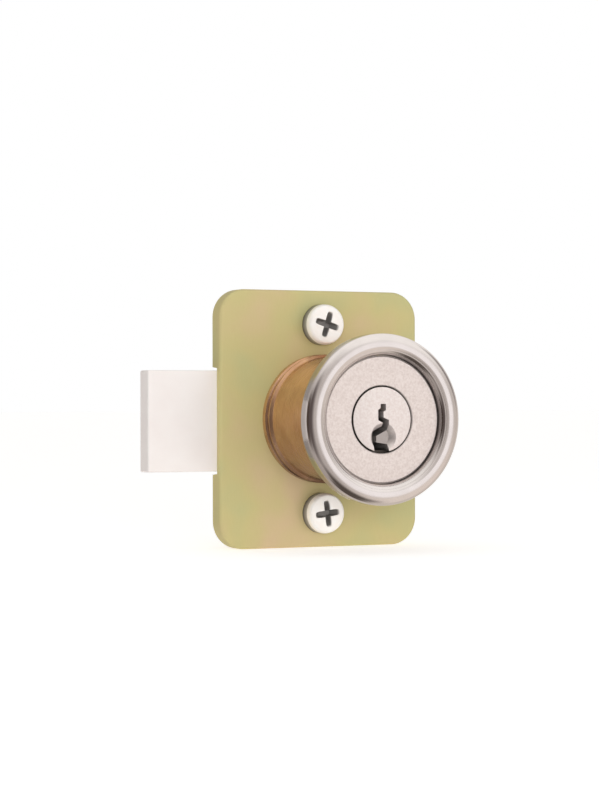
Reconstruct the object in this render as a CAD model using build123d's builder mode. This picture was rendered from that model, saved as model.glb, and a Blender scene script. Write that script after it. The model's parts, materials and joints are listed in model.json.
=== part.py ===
from build123d import *
import math
import os

os.makedirs("parts", exist_ok=True)

# Pin tumbler drawer lock, in millimetres. The origin is on the barrel's axis at the plate's
# front face. X runs right (the bolt is thrown towards -X), Y runs back into the drawer, Z is up.
# The bolt is drawn thrown, and the tumblers stand at the shear line, as the right key holds them.

# Front plate: a shallow pan drawn from sheet
plate_width = 38.1
plate_sheet = 1.2
plate_depth = 3.2
plate_corner = 4.76
plate_bend = 0.6
notch_reach = 2.4

# Barrel: a plated cylinder body inside a brass sleeve, which is stepped out at its base
barrel_radius = 11.1
barrel_length = 22.6
barrel_step = 0.5
sleeve_wall = 0.7
sleeve_gap = 0.05
face_flange = 1.0
face_chamfer = 0.3
base_collar = 1.35
base_groove = 1.0
base_groove_depth = 0.35
base_land = 0.25
spigot_step = 1.25
spigot_flat_cut = 1.0
spigot_gap = 0.03

# Trim ring on the front end of the barrel
ring_gap = 0.05
ring_width = 3.5
ring_back = 1.8
ring_height = 3.1
ring_lip_width = 0.85
ring_lip_drop = 0.1
ring_wall_fill = 0.7
ring_crest_width = 0.7
ring_shoulder = 0.95
ring_shoulder_fill = 0.75
ring_back_edge = 0.3

# Plug, which turns in the cylinder body
plug_radius = 5.0
plug_running_gap = 0.05
plug_flange_step = 0.4
plug_flange_gap = 0.2
plug_flange_thickness = 1.2
plug_end_play = 0.05
plug_end_room = 0.25
plug_front_edge = 0.12
spindle_radius = 2.25
spindle_square = 3.4
clip_thickness = 0.65
clip_seat = 0.8
clip_rim = 1.4
clip_gap = 0.1
clip_room = 0.4
clip_play = 0.025
clip_mouth = 4.4

# Keyway: warded slot, open at the underside of the plug, with a cone sunk round its lower half
keyway_end_wall = 2.2
keyway_cone_radius = 2.35
keyway_cone_height = -2.9
keyway_cone_side = 0.2
keyway_cone_depth = 0.9
keyway_cone_taper = 45.0

# Pin tumblers, one for each cut height of the key, with a wall left between their chambers
cut_heights = (1.05, 0.15, 1.5, 0.6, 1.05)
chamber_wall = 0.45
chamber_gap = 0.05
first_chamber = 4.4
last_chamber = 4.4
chamber_floor = -0.6
driver_length = 2.5
shear_gap = 0.03
key_pin_point = 0.55
driver_edge = 0.15
spring_wire = 0.28
spring_pitch = 0.45
spring_side_gap = 0.2

# Bolt and its throw
bolt_height = 17.2
bolt_drop = 0.3
bolt_thickness = 3.45
bolt_throw = 12.7
bolt_gap = 0.1
bolt_side_gap = 0.15
notch_side_gap = 0.5
bolt_edge = 0.35
stop_gap = 0.1
fork_gap = 0.2
tail_web = 2.17
tail_corner = 1.2

# Cam and drive pin behind the bolt; the pin swings a quarter turn, 45 degrees each side of upright
cam_gap = 0.3
cam_thickness = 1.6
cam_hub_radius = 4.2
cam_tip_rim = 0.9
cam_square_gap = 0.03
drive_pin_radius = 1.5
drive_pin_neck = 1.1
drive_pin_head = 0.25
drive_play = 0.35
drive_pin_reach = 0.35
cam_screw_radius = 1.0
cam_screw_head_radius = 1.9
cam_screw_head = 1.0
cam_screw_length = 4.5
cam_screw_edge = 0.3
cam_screw_slot = 0.5
cam_screw_slot_depth = 0.5
cam_washer_thickness = 0.3
cam_washer_radius = 2.9

# Case box behind the plate, and its two posts
case_sheet = 1.2
case_inset = 3.55
case_rim_gap = 0.325
case_corner = 3.0
case_bend = 1.2
case_room = 0.35
flange_gap = 0.25
flange_setback = 3.9
post_radius = 3.0
post_gap = 0.3
post_wall_gap = 0.2
post_hole_radius = 1.6
guide_lap = 1.0
guide_width = 6.0

# Case screws: number 6, with deep pan heads and a cross recess
screw_head_radius = 3.5
screw_head_height = 2.9
screw_head_rim = 2.4
screw_head_shoulder = 0.4
screw_head_crown = 0.12
screw_head_lean = 0.1
screw_head_space = 0.5
screw_body_radius = 1.48
screw_thread_radius = 1.75
screw_stud = 6.4
screw_point = 0.4
screw_plate_gap = 0.4
screw_tap_gap = 0.02
screw_relief = 0.6
recess_span = 4.3
recess_slot = 1.05
recess_depth = 1.7
recess_taper = 9.0
upper_screw_turn = -17.0
lower_screw_turn = 7.0

# Places along the barrel's axis
face_y = -barrel_length
sleeve_front = face_y + face_flange
bolt_front = plate_sheet + bolt_gap
bolt_back = bolt_front + bolt_thickness
guide_y = bolt_back + bolt_gap
cam_front = bolt_back + cam_gap
cam_back = cam_front + cam_thickness
cam_screw_top = cam_back + cam_washer_thickness + cam_screw_head
case_inner_back = cam_screw_top + case_room
case_back = case_inner_back + case_sheet
clip_front = -clip_seat - clip_thickness
counterbore_floor = clip_front - clip_gap
plug_end = bolt_front - plug_end_room

# Sizes that follow from the ones above
neck_radius = barrel_radius - barrel_step
sleeve_inner = neck_radius - sleeve_wall
core_radius = sleeve_inner - sleeve_gap
spigot_radius = core_radius - spigot_step
bore_radius = plug_radius + plug_running_gap
plug_flange_radius = plug_radius + plug_flange_step
groove_radius = plug_radius - clip_seat
clip_radius = plug_radius + clip_rim
chamber_pitch = (barrel_length - first_chamber - last_chamber) / (len(cut_heights) - 1)
chambers = [face_y + first_chamber + i * chamber_pitch for i in range(len(cut_heights))]
chamber_radius = (chamber_pitch - chamber_wall) / 2
tumbler_radius = chamber_radius - chamber_gap
cam_arm = bolt_throw / math.sqrt(2)
drive_slot_radius = drive_pin_radius + drive_play
tail_half = cam_arm + drive_slot_radius + tail_web
fork_half = spindle_radius + fork_gap
screw_place = max(
    tail_half + post_gap + post_radius,
    barrel_radius + screw_head_space + screw_head_radius,
)
case_width = plate_width - 2 * case_inset
case_height = 2 * (screw_place + post_radius + post_wall_gap + case_sheet)
case_inner_half = case_width / 2 - case_sheet
case_notch_width = plate_width - case_width + 2 * notch_reach
plate_height = case_height + 2 * (case_rim_gap + plate_sheet)
bolt_tip = -plate_width / 2 - bolt_throw
tail_left = -case_inner_half + stop_gap
tail_right = case_inner_half - stop_gap - bolt_throw
spring_foot = plug_radius + shear_gap + driver_length
spring_top = math.sqrt(sleeve_inner**2 - tumbler_radius**2)
spring_radius = tumbler_radius - spring_side_gap - spring_wire / 2
coil_height = spring_top - spring_foot - spring_wire - 2 * chamber_gap
coil_turns = max(1, int(coil_height / spring_pitch))
dome_radius = plug_radius - shear_gap
dome_side = math.sqrt(dome_radius**2 - tumbler_radius**2)
screw_places = [(0, screw_place), (0, -screw_place)]
lug_reach = post_radius + post_gap + guide_lap
drive_place = (-bolt_throw / 2, bolt_throw / 2)
screw_shoulder = (screw_head_radius - screw_head_shoulder, screw_head_crown - screw_head_height)
groove_rear_y = -base_collar
groove_front_y = groove_rear_y - base_groove
step_y = groove_front_y - base_land
ring_inner = neck_radius + ring_gap
ring_outer = ring_inner + ring_width
ring_rear_y = face_y + ring_back
ring_front_y = ring_rear_y - ring_height
ring_lip = (ring_inner + ring_lip_width, ring_front_y + ring_lip_drop)
ring_throat = (
    ring_lip[0] - ring_wall_fill * ring_lip_width,
    face_y + ring_wall_fill * (ring_lip[1] - face_y),
)
ring_crest = (ring_inner + ring_lip_width + ring_crest_width, ring_front_y)
ring_side = (ring_outer, ring_front_y + ring_shoulder)
ring_brow = (
    ring_crest[0] + ring_shoulder_fill * (ring_side[0] - ring_crest[0]),
    ring_side[1] + ring_shoulder_fill * (ring_crest[1] - ring_side[1]),
)
ring_heel = (ring_outer, ring_rear_y - ring_back_edge)
ring_foot = (ring_outer - ring_back_edge, ring_rear_y)

# Keyway outline, clockwise from its top left: its bends are the wards
keyway_outline = (
    (-0.3, 2.6),
    (0.7, 2.6),
    (0.7, 1.55),
    (0.25, 1.3),
    (0.25, 0.35),
    (1.25, -0.05),
    (1.25, -1.75),
    (-0.65, -2.7),
    (-0.65, -3.75),
    (1.3, -4.05),
    (1.3, -plug_flange_radius),
    (-1.35, -plug_flange_radius),
    (-1.7, -3.8),
    (-1.7, -2.0),
    (0.15, -1.15),
    (0.15, -0.55),
    (-0.75, -0.1),
    (-0.75, 1.6),
    (-0.3, 1.9),
)


def square_plane(y):
    """A sketch plane square to the barrel's axis at depth y: right and up are its own axes."""
    return Plane.XZ.offset(-y)


def level_plane(y, z):
    """A sketch plane at height z, centred over the axis at depth y."""
    return Plane.XY.offset(z).move(Location((0, y, 0)))


def turning_plane(z):
    """A level sketch plane at height z, for profiles that are turned round a line along Y."""
    return Plane.XY.offset(z)


def spigot_outline(growth):
    """The cylinder body's staked spigot, or the plate's hole for it: a circle with two flats."""
    reach = spigot_radius + growth
    Circle(reach)
    Rectangle(2 * reach, 2 * (reach - spigot_flat_cut), mode=Mode.INTERSECT)


# Front plate: pan with its edges turned back, notched on the left where the bolt comes out
with BuildPart() as front_plate:
    with BuildSketch(square_plane(plate_depth)):
        RectangleRounded(plate_width, plate_height, plate_corner)
    extrude(amount=plate_depth)
    fillet(front_plate.faces().sort_by(Axis.Y)[0].edges(), plate_bend)
    with BuildSketch(square_plane(plate_depth)):
        RectangleRounded(
            plate_width - 2 * plate_sheet, plate_height - 2 * plate_sheet, plate_corner - plate_sheet
        )
        with Locations((-plate_width / 2, -bolt_drop)):
            Rectangle(2 * notch_reach, bolt_height + 2 * notch_side_gap)
    extrude(amount=plate_depth - plate_sheet, mode=Mode.SUBTRACT)
    with BuildSketch(square_plane(plate_sheet)):
        spigot_outline(spigot_gap)
        with Locations(screw_places):
            Circle(screw_body_radius + screw_plate_gap)
    extrude(amount=plate_sheet, mode=Mode.SUBTRACT)
front_plate.part.label = "front_plate"
export_step(front_plate.part, "parts/front_plate.step")

# Case box: drawn box with two side flanges welded to the back of the plate
with BuildPart() as case_box:
    with BuildSketch(square_plane(case_back)):
        RectangleRounded(case_width, case_height, case_corner)
    extrude(amount=case_back - plate_sheet)
    fillet(case_box.faces().sort_by(Axis.Y)[-1].edges(), case_bend)
    with BuildSketch(square_plane(plate_sheet + case_sheet)):
        Rectangle(
            plate_width - 2 * (plate_sheet + flange_gap), case_height - 2 * flange_setback
        )
    extrude(amount=case_sheet)
    with BuildSketch(square_plane(case_inner_back)):
        RectangleRounded(
            case_width - 2 * case_sheet, case_height - 2 * case_sheet, case_corner - case_sheet
        )
    extrude(amount=case_inner_back - plate_sheet, mode=Mode.SUBTRACT)
    with BuildSketch(square_plane(guide_y)):
        with Locations((-plate_width / 2, -bolt_drop)):
            Rectangle(case_notch_width, bolt_height + 2 * bolt_side_gap)
    extrude(amount=guide_y - plate_sheet, mode=Mode.SUBTRACT)
    with BuildSketch(square_plane(case_back)):
        with Locations(screw_places):
            Circle(screw_body_radius + screw_tap_gap)
    extrude(amount=case_sheet, mode=Mode.SUBTRACT)
    mouths = case_box.faces().sort_by(Axis.Y)[-1].inner_wires().edges()
    chamfer(mouths, screw_relief)
case_box.part.label = "case_box"
export_step(case_box.part, "parts/case_box.step")

# Posts: spacer tubes round the screws, each with a lug that keeps the bolt's tail forward
for name, side in (("post_upper", 1), ("post_lower", -1)):
    with BuildPart() as post:
        with BuildSketch(square_plane(case_inner_back)):
            with Locations((0, side * screw_place)):
                Circle(post_radius)
        extrude(amount=case_inner_back - plate_sheet)
        with BuildSketch(square_plane(case_inner_back)):
            with Locations((0, side * (screw_place - lug_reach / 2))):
                Rectangle(guide_width, lug_reach)
        extrude(amount=case_inner_back - guide_y)
        with BuildSketch(square_plane(case_inner_back)):
            with Locations((0, side * screw_place)):
                Circle(post_hole_radius)
        extrude(amount=case_inner_back - plate_sheet, mode=Mode.SUBTRACT)
    post.part.label = name
    export_step(post.part, f"parts/{name}.step")

# Bolt: head that shows, and a forked tail that straddles the spindle inside the case
with BuildPart() as bolt:
    with BuildSketch(square_plane(bolt_back)):
        with Locations(((bolt_tip + tail_right) / 2, -bolt_drop)):
            Rectangle(tail_right - bolt_tip, bolt_height)
    extrude(amount=bolt_thickness)
    fillet(bolt.faces().sort_by(Axis.X)[0].edges(), bolt_edge)
    with BuildSketch(square_plane(bolt_back)):
        with Locations(((tail_left + tail_right) / 2, 0)):
            RectangleRounded(tail_right - tail_left, 2 * tail_half, tail_corner)
    extrude(amount=bolt_thickness)
    with BuildSketch(square_plane(bolt_back)):
        with Locations((-bolt_throw, 0)):
            Circle(fork_half)
        with Locations(((tail_right - bolt_throw) / 2, 0)):
            Rectangle(tail_right + bolt_throw, 2 * fork_half)
        with Locations((-bolt_throw / 2, (cam_arm + bolt_throw / 2) / 2)):
            SlotCenterToCenter(cam_arm - bolt_throw / 2, 2 * drive_slot_radius, rotation=90)
    extrude(amount=bolt_thickness, mode=Mode.SUBTRACT)
bolt.part.label = "bolt"
export_step(bolt.part, "parts/bolt.step")

# Cylinder body: plated face flange, body with the plug's bore and pin chambers, staked spigot
with BuildPart() as cylinder_body:
    with BuildSketch(square_plane(sleeve_front)):
        Circle(neck_radius)
    extrude(amount=face_flange)
    chamfer(cylinder_body.faces().sort_by(Axis.Y)[0].edges(), face_chamfer)
    with BuildSketch(square_plane(0)):
        Circle(core_radius)
    extrude(amount=-sleeve_front)
    with BuildSketch(square_plane(plate_sheet)):
        spigot_outline(0)
    extrude(amount=plate_sheet)
    with BuildSketch(square_plane(plate_sheet)):
        Circle(bore_radius)
    extrude(amount=plate_sheet - face_y, mode=Mode.SUBTRACT)
    with BuildSketch(square_plane(face_y + plug_flange_thickness + plug_end_play)):
        Circle(plug_flange_radius + plug_flange_gap)
    extrude(amount=plug_flange_thickness + plug_end_play, mode=Mode.SUBTRACT)
    with BuildSketch(square_plane(plate_sheet)):
        Circle(clip_radius + clip_room)
    extrude(amount=plate_sheet - counterbore_floor, mode=Mode.SUBTRACT)
    for y in chambers:
        with BuildSketch(level_plane(y, 0)):
            Circle(chamber_radius)
        extrude(amount=barrel_radius, mode=Mode.SUBTRACT)
cylinder_body.part.label = "cylinder_body"
export_step(cylinder_body.part, "parts/cylinder_body.step")

# Brass sleeve, turned: it closes the pin chambers, and its base is stepped out and grooved
with BuildPart() as barrel_sleeve:
    with BuildSketch(turning_plane(0)):
        with BuildLine():
            Polyline(
                (sleeve_inner, 0),
                (barrel_radius, 0),
                (barrel_radius, groove_rear_y),
                (barrel_radius - base_groove_depth, groove_rear_y),
                (barrel_radius - base_groove_depth, groove_front_y),
                (barrel_radius, groove_front_y),
                (barrel_radius, step_y),
                (neck_radius, step_y - barrel_step),
                (neck_radius, sleeve_front),
                (sleeve_inner, sleeve_front),
                close=True,
            )
        make_face()
    revolve(axis=Axis.Y)
barrel_sleeve.part.label = "barrel_sleeve"
export_step(barrel_sleeve.part, "parts/barrel_sleeve.step")

# Trim ring, turned: straight side, crowned front and a flared wall down to the cylinder's face
with BuildPart() as trim_ring:
    with BuildSketch(turning_plane(0)):
        with BuildLine():
            Spline(ring_lip, ring_throat, (ring_inner, face_y), tangents=((-1, 0.3), (0, 1)))
            Polyline((ring_inner, face_y), (ring_inner, ring_rear_y), ring_foot)
            RadiusArc(ring_foot, ring_heel, ring_back_edge)
            Line(ring_heel, ring_side)
            Spline(ring_side, ring_brow, ring_crest, tangents=((0, -1), (-1, 0)))
            TangentArc(ring_crest, ring_lip, tangent=(-1, 0))
        make_face()
    revolve(axis=Axis.Y)
trim_ring.part.label = "trim_ring"
export_step(trim_ring.part, "parts/trim_ring.step")

# Plug: flanged front, keyway, tumbler holes, clip groove, spindle and the cam's square
with BuildPart() as plug:
    with BuildSketch(square_plane(plug_end)):
        Circle(plug_radius)
    extrude(amount=plug_end - face_y)
    with BuildSketch(square_plane(face_y + plug_flange_thickness)):
        Circle(plug_flange_radius)
    extrude(amount=plug_flange_thickness)
    fillet(plug.faces().sort_by(Axis.Y)[0].edges(), plug_front_edge)
    with BuildSketch(square_plane(-clip_seat)):
        Circle(2 * plug_radius)
        Circle(groove_radius, mode=Mode.SUBTRACT)
    extrude(amount=clip_thickness, mode=Mode.SUBTRACT)
    with BuildSketch(square_plane(cam_front)):
        Circle(spindle_radius)
    extrude(amount=cam_front - plug_end)
    with BuildSketch(square_plane(cam_back)):
        Circle(spindle_radius)
        Rectangle(spindle_square, spindle_square, mode=Mode.INTERSECT)
    extrude(amount=cam_thickness)
    with BuildSketch(square_plane(cam_back)):
        Circle(cam_screw_radius + screw_tap_gap)
    extrude(amount=cam_screw_length, mode=Mode.SUBTRACT)
    with BuildSketch(square_plane(clip_front - keyway_end_wall)):
        with BuildLine():
            Polyline(*keyway_outline, close=True)
        make_face()
    extrude(amount=clip_front - keyway_end_wall - face_y, mode=Mode.SUBTRACT)
    with BuildSketch(square_plane(face_y)):
        with Locations((keyway_cone_side, keyway_cone_height)):
            Circle(keyway_cone_radius)
    extrude(amount=-keyway_cone_depth, taper=keyway_cone_taper, mode=Mode.SUBTRACT)
    for y in chambers:
        with BuildSketch(level_plane(y, chamber_floor)):
            Circle(chamber_radius)
        extrude(amount=barrel_radius, mode=Mode.SUBTRACT)
plug.part.label = "plug"
export_step(plug.part, "parts/plug.step")

# Retaining clip in the plug's groove, open at the bottom
with BuildPart() as plug_clip:
    with BuildSketch(square_plane(-clip_seat - clip_play)):
        Circle(clip_radius)
        Circle(groove_radius + 2 * clip_play, mode=Mode.SUBTRACT)
        with Locations((0, -clip_radius)):
            Rectangle(clip_mouth, 2 * (clip_rim + clip_seat), mode=Mode.SUBTRACT)
    extrude(amount=clip_thickness - 2 * clip_play)
plug_clip.part.label = "plug_clip"
export_step(plug_clip.part, "parts/plug_clip.step")

# Cam on the plug's square, pointing up and to the left while the bolt is thrown
with BuildPart() as cam:
    with BuildSketch(square_plane(cam_back)):
        Circle(cam_hub_radius)
        with Locations(drive_place):
            Circle(drive_pin_radius + cam_tip_rim)
        make_hull()
        hole_side = spindle_square + 2 * cam_square_gap
        Rectangle(hole_side, hole_side, mode=Mode.SUBTRACT)
        with Locations(drive_place):
            Circle(drive_pin_neck, mode=Mode.SUBTRACT)
    extrude(amount=cam_thickness)
cam.part.label = "cam"
export_step(cam.part, "parts/cam.step")

# Drive pin, staked in the cam, reaching forward through the slot in the bolt's tail
with BuildPart() as drive_pin:
    with BuildSketch(square_plane(cam_front)):
        with Locations(drive_place):
            Circle(drive_pin_radius)
    extrude(amount=cam_front - plate_sheet - drive_pin_reach)
    chamfer(drive_pin.faces().sort_by(Axis.Y)[0].edges(), driver_edge)
    with BuildSketch(square_plane(cam_back + drive_pin_head)):
        with Locations(drive_place):
            Circle(drive_pin_neck)
    extrude(amount=cam_thickness + drive_pin_head)
drive_pin.part.label = "drive_pin"
export_step(drive_pin.part, "parts/drive_pin.step")

# Cam washer and slotted cam screw
with BuildPart() as cam_washer:
    with BuildSketch(square_plane(cam_back + cam_washer_thickness)):
        Circle(cam_washer_radius)
        Circle(cam_screw_radius + screw_tap_gap, mode=Mode.SUBTRACT)
    extrude(amount=cam_washer_thickness)
cam_washer.part.label = "cam_washer"
export_step(cam_washer.part, "parts/cam_washer.step")

with BuildPart() as cam_screw:
    with BuildSketch(square_plane(cam_screw_top)):
        Circle(cam_screw_head_radius)
    extrude(amount=cam_screw_head)
    fillet(cam_screw.faces().sort_by(Axis.Y)[-1].edges(), cam_screw_edge)
    with BuildSketch(square_plane(cam_back + cam_washer_thickness)):
        Circle(cam_screw_radius)
    extrude(amount=cam_screw_length)
    with BuildSketch(square_plane(cam_screw_top)):
        Rectangle(2 * cam_screw_head_radius, cam_screw_slot)
    extrude(amount=cam_screw_slot_depth, mode=Mode.SUBTRACT)
cam_screw.part.label = "cam_screw"
export_step(cam_screw.part, "parts/cam_screw.step")

# Tumblers: a pointed key pin, a driver pin and a spring in each chamber
for number, (y, cut_height) in enumerate(zip(chambers, cut_heights), start=1):
    with BuildPart() as key_pin:
        with BuildSketch(square_plane(y)):
            with BuildLine():
                Polyline(
                    (0, dome_radius),
                    (0, cut_height),
                    (tumbler_radius - key_pin_point, cut_height),
                    (tumbler_radius, cut_height + key_pin_point),
                    (tumbler_radius, dome_side),
                )
                RadiusArc((tumbler_radius, dome_side), (0, dome_radius), -dome_radius)
            make_face()
        revolve(axis=Axis((0, y, 0), (0, 0, 1)))
    key_pin.part.label = f"key_pin_{number}"
    export_step(key_pin.part, f"parts/key_pin_{number}.step")

    with BuildPart() as driver_pin:
        with BuildSketch(level_plane(y, plug_radius + shear_gap)):
            Circle(tumbler_radius)
        extrude(amount=driver_length)
        ends = driver_pin.faces().sort_by(Axis.Z)
        chamfer(ends[0].edges() + ends[-1].edges(), driver_edge)
    driver_pin.part.label = f"driver_pin_{number}"
    export_step(driver_pin.part, f"parts/driver_pin_{number}.step")

    coil_foot = (0, y, spring_foot + chamber_gap + spring_wire / 2)
    with BuildPart() as pin_spring:
        with BuildLine():
            coil = Helix(coil_height / coil_turns, coil_height, spring_radius, center=coil_foot)
        with BuildSketch(Plane(origin=coil @ 0, z_dir=coil % 0)):
            Circle(spring_wire / 2)
        sweep(is_frenet=True)
    pin_spring.part.label = f"pin_spring_{number}"
    export_step(pin_spring.part, f"parts/pin_spring_{number}.step")

# Case screws: pan head in front of the plate, thread standing out behind the case
for name, z, turn in (
    ("screw_upper", screw_place, upper_screw_turn),
    ("screw_lower", -screw_place, lower_screw_turn),
):
    with BuildPart() as screw:
        with BuildSketch(turning_plane(z)):
            with BuildLine():
                Polyline(
                    (0, -screw_head_height),
                    (0, case_back + screw_stud),
                    (screw_thread_radius - screw_point, case_back + screw_stud),
                    (screw_thread_radius, case_back + screw_stud - screw_point),
                    (screw_thread_radius, case_back),
                    (screw_body_radius, case_back),
                    (screw_body_radius, 0),
                    (screw_head_radius, 0),
                    (screw_head_radius, -screw_head_rim),
                )
                crown = TangentArc((0, -screw_head_height), screw_shoulder, tangent=(1, 0))
                Spline(
                    (screw_head_radius, -screw_head_rim),
                    screw_shoulder,
                    tangents=((-screw_head_lean, -1), crown.tangent_at(1) * -1),
                )
            make_face()
        revolve(axis=Axis((0, 0, z), (0, 1, 0)))
        with BuildSketch(square_plane(-screw_head_height)):
            with Locations(Location((0, z), turn)):
                Rectangle(recess_span, recess_slot)
                Rectangle(recess_slot, recess_span)
        extrude(amount=-recess_depth, taper=recess_taper, mode=Mode.SUBTRACT)
    screw.part.label = name
    export_step(screw.part, f"parts/{name}.step")
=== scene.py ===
import json
import math

import bmesh
import bpy
import numpy as np
from mathutils import Matrix, Vector
from mathutils.geometry import delaunay_2d_cdt


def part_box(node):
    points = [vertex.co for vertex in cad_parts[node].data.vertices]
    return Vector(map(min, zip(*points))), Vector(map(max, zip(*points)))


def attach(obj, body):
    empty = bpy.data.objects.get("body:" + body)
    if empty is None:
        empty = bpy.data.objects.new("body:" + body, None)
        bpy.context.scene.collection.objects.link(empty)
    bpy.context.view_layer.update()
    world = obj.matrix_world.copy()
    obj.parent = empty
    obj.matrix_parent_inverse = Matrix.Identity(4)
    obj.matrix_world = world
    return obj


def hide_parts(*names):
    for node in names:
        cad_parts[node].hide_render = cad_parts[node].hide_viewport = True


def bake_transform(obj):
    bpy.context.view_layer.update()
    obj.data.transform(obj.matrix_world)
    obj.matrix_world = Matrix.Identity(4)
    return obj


# Pin tumbler drawer lock, seen from the front left. Shapes are worked out in millimetres in the
# frame's own axes: X right, Y back into the drawer, Z up, from the barrel's axis at the plate.
MM = 0.001
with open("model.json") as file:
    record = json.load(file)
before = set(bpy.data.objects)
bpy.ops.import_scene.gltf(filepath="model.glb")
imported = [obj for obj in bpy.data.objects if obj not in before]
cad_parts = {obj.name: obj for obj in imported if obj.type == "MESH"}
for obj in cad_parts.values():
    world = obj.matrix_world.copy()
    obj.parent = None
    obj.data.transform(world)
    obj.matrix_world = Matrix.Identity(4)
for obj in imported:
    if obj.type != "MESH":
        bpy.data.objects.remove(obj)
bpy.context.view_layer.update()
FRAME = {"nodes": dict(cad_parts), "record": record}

# The camera, in degrees and millimetres
CAMERA_TURN = -26.3
CAMERA_RISE = -0.08
CAMERA_ROLL = -0.09
CAMERA_AWAY = 387.6
CAMERA_LENS = 100.56
CAMERA_SENSOR = 36.0
AIM_RIGHT = -3.59
AIM_UP = 3.27

# Meshes: two faces that meet at more than CRISP_OVER degrees keep a crisp edge. TINY is a length
# in millimetres too short to matter, and DOUBLES_WITHIN one in metres
CRISP_OVER = 35.0
TINY = 1e-6
DOUBLES_WITHIN = 1e-7


def node_box(name):
    """A CAD node's lowest and highest corners in millimetres."""
    return [np.array(corner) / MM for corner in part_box(name)]


def middle(name, axis):
    """The middle of a CAD node along axis 0, 1 or 2, in millimetres."""
    low, high = node_box(name)
    return float(low[axis] + high[axis]) / 2


def linear(colour):
    """An sRGB hex colour as linear red, green, blue and alpha."""
    parts = [int(colour[i:i + 2], 16) / 255 for i in (1, 3, 5)]
    return [c / 12.92 if c <= 0.04045 else ((c + 0.055) / 1.055) ** 2.4 for c in parts] + [1.0]


def mesh_piece(name, points, faces, smooth_under=CRISP_OVER):
    """A piece from points in millimetres and faces, shaded smooth under the given angle."""
    mesh = bpy.data.meshes.new(name)
    mesh.from_pydata((np.asarray(points) * MM).tolist(), [], faces)
    mesh.validate()
    piece = bpy.data.objects.new(name, mesh)
    bpy.context.scene.collection.objects.link(piece)
    finish_shading(piece, smooth_under)
    return piece


def finish_shading(piece, smooth_under):
    """Smooth shading, with sharp edges where two faces meet at more than smooth_under degrees."""
    piece.data.polygons.foreach_set("use_smooth", np.ones(len(piece.data.polygons), bool))
    piece.data.set_sharp_from_angle(angle=math.radians(smooth_under))
    piece.data.update()


def ring_quads(rows, columns, first=0):
    """Quads that join each ring of points to the next one, round and round."""
    row = np.arange(rows - 1)[:, None] * columns + first
    here = np.arange(columns)[None, :]
    after = (here + 1) % columns
    quads = [row + here, row + after, row + columns + after, row + columns + here]
    return np.stack(quads, axis=-1).reshape(-1, 4).tolist()


def pairs(across, along):
    """Two arrays as a list of (across, along) points."""
    return list(zip(across.tolist(), along.tolist()))


def arc(centre, radius, start, end, steps):
    """Points (across, along) on a circle's arc, between two angles in degrees."""
    angle = np.radians(np.linspace(start, end, steps + 1))
    return pairs(centre[0] + radius * np.cos(angle), centre[1] + radius * np.sin(angle))


def turned(name, profile, centre=(0.0, 0.0), sides=192, shape=None):
    """A profile of (radius, depth) points turned round a line along Y through centre (x, z):
    x = r cos a, z = r sin a. A closed profile gives a ring; one that starts and ends on the line
    gives a solid, with one point at each pole. A shape gives the radius from radius, depth and
    angle."""
    profile = np.array(profile, float)
    solid = profile[0, 0] == 0.0
    rings = profile[1:-1] if solid else profile
    angle = np.linspace(0, 2 * np.pi, sides, endpoint=False)
    y = np.repeat(rings[:, 1:], sides, axis=1)
    radius = np.repeat(rings[:, :1], sides, axis=1)
    if shape:
        radius = shape(radius, y, angle)
    x = centre[0] + radius * np.cos(angle)
    z = centre[1] + radius * np.sin(angle)
    points = np.stack([x, y, z], axis=-1).reshape(-1, 3)
    faces = ring_quads(len(rings), sides)
    last = (len(rings) - 1) * sides
    if solid:
        poles = [[centre[0], profile[i, 1], centre[1]] for i in (0, -1)]
        first_pole, last_pole = len(points), len(points) + 1
        points = np.vstack([points, poles])
        faces += [[first_pole, (i + 1) % sides, i] for i in range(sides)]
        faces += [[last_pole, last + i, last + (i + 1) % sides] for i in range(sides)]
    else:
        after = [(i + 1) % sides for i in range(sides)]
        faces += [[last + i, last + after[i], after[i], i] for i in range(sides)]
    return outward(mesh_piece(name, points, faces))


def outward(piece):
    """Turns a closed mesh's faces outwards, as its signed volume shows."""
    mesh = piece.data
    mesh.calc_loop_triangles()
    corners = np.zeros(len(mesh.vertices) * 3)
    mesh.vertices.foreach_get("co", corners)
    corners = corners.reshape(-1, 3)
    triangles = np.zeros(len(mesh.loop_triangles) * 3, np.int32)
    mesh.loop_triangles.foreach_get("vertices", triangles)
    a, b, c = (corners[triangles.reshape(-1, 3)[:, i]] for i in range(3))
    if np.einsum("ij,ij->", a, np.cross(b, c)) < 0:
        mesh.flip_normals()
    return piece


def rounded_path(corners, steps=8, straight=2):
    """A closed outline through corners (x, z, radius), each rounded by an arc that touches both
    its sides, and each straight cut into equal lengths. Gives the points and the outward normals,
    for corners listed anticlockwise as the front is seen."""
    count = len(corners)
    spots = np.array([corner[:2] for corner in corners], float)
    points, normals, ends = [], [], []
    for i, (x, z, radius) in enumerate(corners):
        here = spots[i]
        back = spots[i - 1] - here
        ahead = spots[(i + 1) % count] - here
        back, ahead = back / np.linalg.norm(back), ahead / np.linalg.norm(ahead)
        half = 0.5 * math.acos(np.clip(back @ ahead, -1, 1))
        way = -back
        side = np.array([way[1], -way[0]])
        bend = 1.0 if way[0] * ahead[1] - way[1] * ahead[0] > 0 else -1.0
        inward = (back + ahead) / np.linalg.norm(back + ahead)
        centre = here + inward * radius / math.sin(half)
        turn = bend * np.linspace(0, math.pi - 2 * half, steps + 1)
        cos, sin = np.cos(turn)[:, None], np.sin(turn)[:, None]
        across = np.array([-side[1], side[0]])
        normal = side * cos + across * sin
        ends.append((centre + bend * radius * normal, normal))
    for i, (place, normal) in enumerate(ends):
        points.append(place)
        normals.append(normal)
        following = ends[(i + 1) % count][0][0]
        share = np.arange(1, straight)[:, None] / straight
        points.append(place[-1] + (following - place[-1]) * share)
        normals.append(np.repeat(normal[-1:], straight - 1, axis=0))
    return np.vstack(points), np.vstack(normals)


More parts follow.
